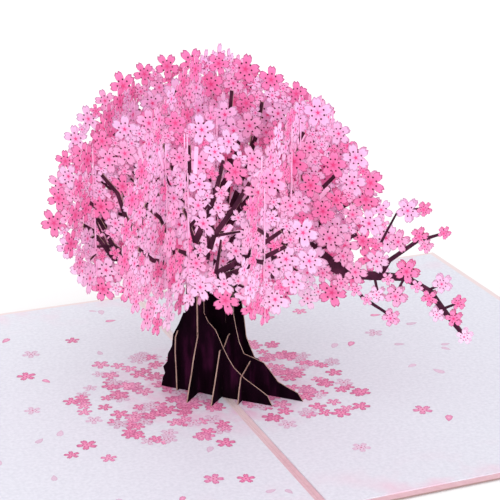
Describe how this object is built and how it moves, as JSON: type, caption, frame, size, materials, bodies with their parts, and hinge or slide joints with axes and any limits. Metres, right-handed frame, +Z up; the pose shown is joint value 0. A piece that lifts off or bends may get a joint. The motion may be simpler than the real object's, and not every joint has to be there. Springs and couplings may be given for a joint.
{
  "type": "pop up card",
  "caption": "Opened greeting card with a pop-up blossom tree of interlocking paper slices standing on its fold.",
  "frame": {"origin": "middle of the fold, on the underside of the cover", "axes": "+X across the fold towards the right panel, +Y along the fold away from the reader, +Z up"},
  "size_m": [0.254, 0.178, 0.113],
  "materials": {
    "blossom_card": "printed and cut card, matt",
    "root_card": "printed and cut card, matt",
    "cover_card": "pearly dyed card, matt",
    "liner_paper": "pearly paper with a fine grain"
  },
  "bodies": {
    "root": {"cross_slice_1": "blossom_card", "cross_slice_2": "blossom_card", "cross_slice_3": "blossom_card", "cross_slice_4": "blossom_card", "cross_slice_5": "blossom_card", "back_slice_1": "blossom_card", "back_slice_2": "blossom_card", "back_slice_3": "blossom_card", "back_slice_4": "blossom_card", "root_slice_1": "root_card", "root_slice_2": "root_card", "root_slice_3": "root_card", "cover": "cover_card", "left_liner": "liner_paper", "right_liner": "liner_paper"}
  },
  "joints": []
}
